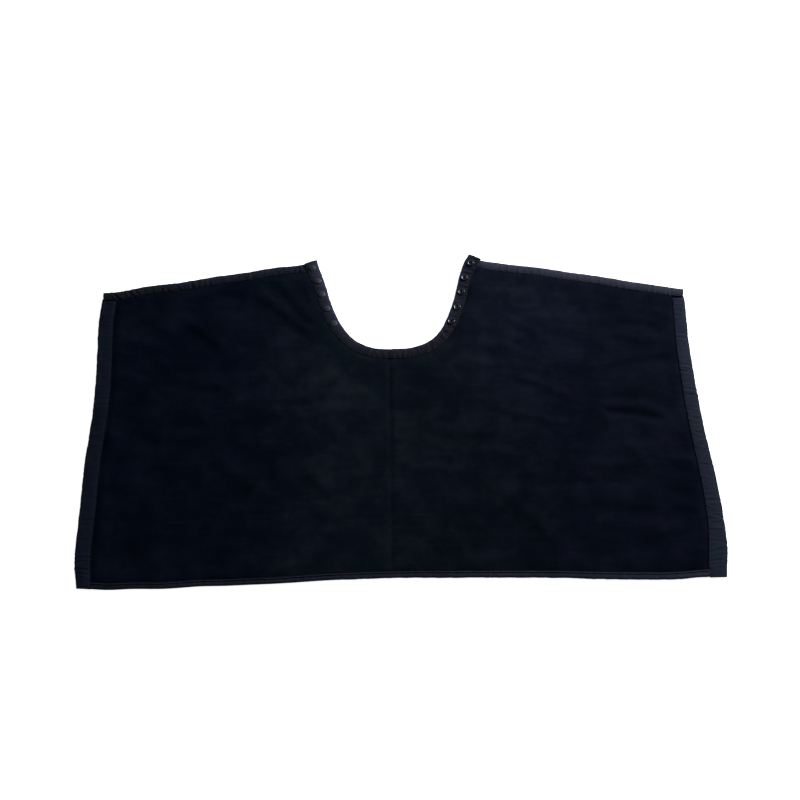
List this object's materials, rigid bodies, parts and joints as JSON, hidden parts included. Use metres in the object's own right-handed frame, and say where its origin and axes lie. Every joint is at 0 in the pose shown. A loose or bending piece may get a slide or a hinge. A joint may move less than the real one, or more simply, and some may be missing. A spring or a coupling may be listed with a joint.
{
  "type": "lead apron",
  "caption": "Wide lead apron of the cape form, laid flat: napped cover over lead vinyl plies, tape-bound edges, U neck closed by press studs, folding at its middle and side lines.",
  "frame": {"origin": "on the surface the apron lies on, under the middle of its bounding box", "axes": "+X from the cap side to the socket side across the width, +Y from the hem to the neck, +Z out of the outer face"},
  "size_m": [0.98, 0.6, 0.0082],
  "materials": {
    "cover_cloth": "matt napped cloth, navy black",
    "lining_cloth": "smooth plain-weave cloth, navy black",
    "lead_vinyl": "lead-loaded flexible vinyl, matt grey",
    "binding_tape": "ribbed binding tape with a slight sheen",
    "stay_cloth": "stiff interlining",
    "snap_steel": "gunmetal-plated press stud",
    "snap_enamel": "satin dark enamel"
  },
  "bodies": {
    "right_front": {"cover_right_front": "cover_cloth", "lead_vinyl_outer_right_front": "lead_vinyl", "lead_vinyl_inner_right_front": "lead_vinyl", "lining_right_front": "lining_cloth", "hem_tape_right_front": "binding_tape", "shoulder_tape_right_front": "binding_tape", "neck_tape_right": "binding_tape", "neck_stay_right": "stay_cloth", "socket_1": "snap_steel", "socket_ring_1": "snap_steel", "socket_2": "snap_steel", "socket_ring_2": "snap_steel", "socket_3": "snap_steel", "socket_ring_3": "snap_steel", "socket_4": "snap_steel", "socket_ring_4": "snap_steel", "socket_5": "snap_steel", "socket_ring_5": "snap_steel"},
    "left_front": {"cover_left_front": "cover_cloth", "lead_vinyl_outer_left_front": "lead_vinyl", "lead_vinyl_inner_left_front": "lead_vinyl", "lining_left_front": "lining_cloth", "hem_tape_left_front": "binding_tape", "shoulder_tape_left_front": "binding_tape", "neck_tape_left": "binding_tape", "neck_stay_left": "stay_cloth", "snap_cap_1": "snap_enamel", "snap_stud_1": "snap_steel", "snap_cap_2": "snap_enamel", "snap_stud_2": "snap_steel", "snap_cap_3": "snap_enamel", "snap_stud_3": "snap_steel", "snap_cap_4": "snap_enamel", "snap_stud_4": "snap_steel", "snap_cap_5": "snap_enamel", "snap_stud_5": "snap_steel"},
    "left_wing": {"cover_left_wing": "cover_cloth", "lead_vinyl_outer_left_wing": "lead_vinyl", "lead_vinyl_inner_left_wing": "lead_vinyl", "lining_left_wing": "lining_cloth", "hem_tape_left_wing": "binding_tape", "shoulder_tape_left_wing": "binding_tape", "side_tape_left": "binding_tape"},
    "right_wing": {"cover_right_wing": "cover_cloth", "lead_vinyl_outer_right_wing": "lead_vinyl", "lead_vinyl_inner_right_wing": "lead_vinyl", "lining_right_wing": "lining_cloth", "hem_tape_right_wing": "binding_tape", "shoulder_tape_right_wing": "binding_tape", "side_tape_right": "binding_tape"}
  },
  "joints": [
    {"name": "centre_fold", "type": "hinge", "parent": "right_front", "child": "left_front", "pos_m": [0, 0, 0.0209], "axis": [0, 1, 0], "range_deg": [0, 180]},
    {"name": "left_side_fold", "type": "hinge", "parent": "left_front", "child": "left_wing", "pos_m": [-0.264, 0, 0.0089], "axis": [0, 1, 0], "range_deg": [0, 180]},
    {"name": "right_side_fold", "type": "hinge", "parent": "right_front", "child": "right_wing", "pos_m": [0.264, 0, 0.0089], "axis": [0, -1, 0], "range_deg": [0, 180]}
  ]
}
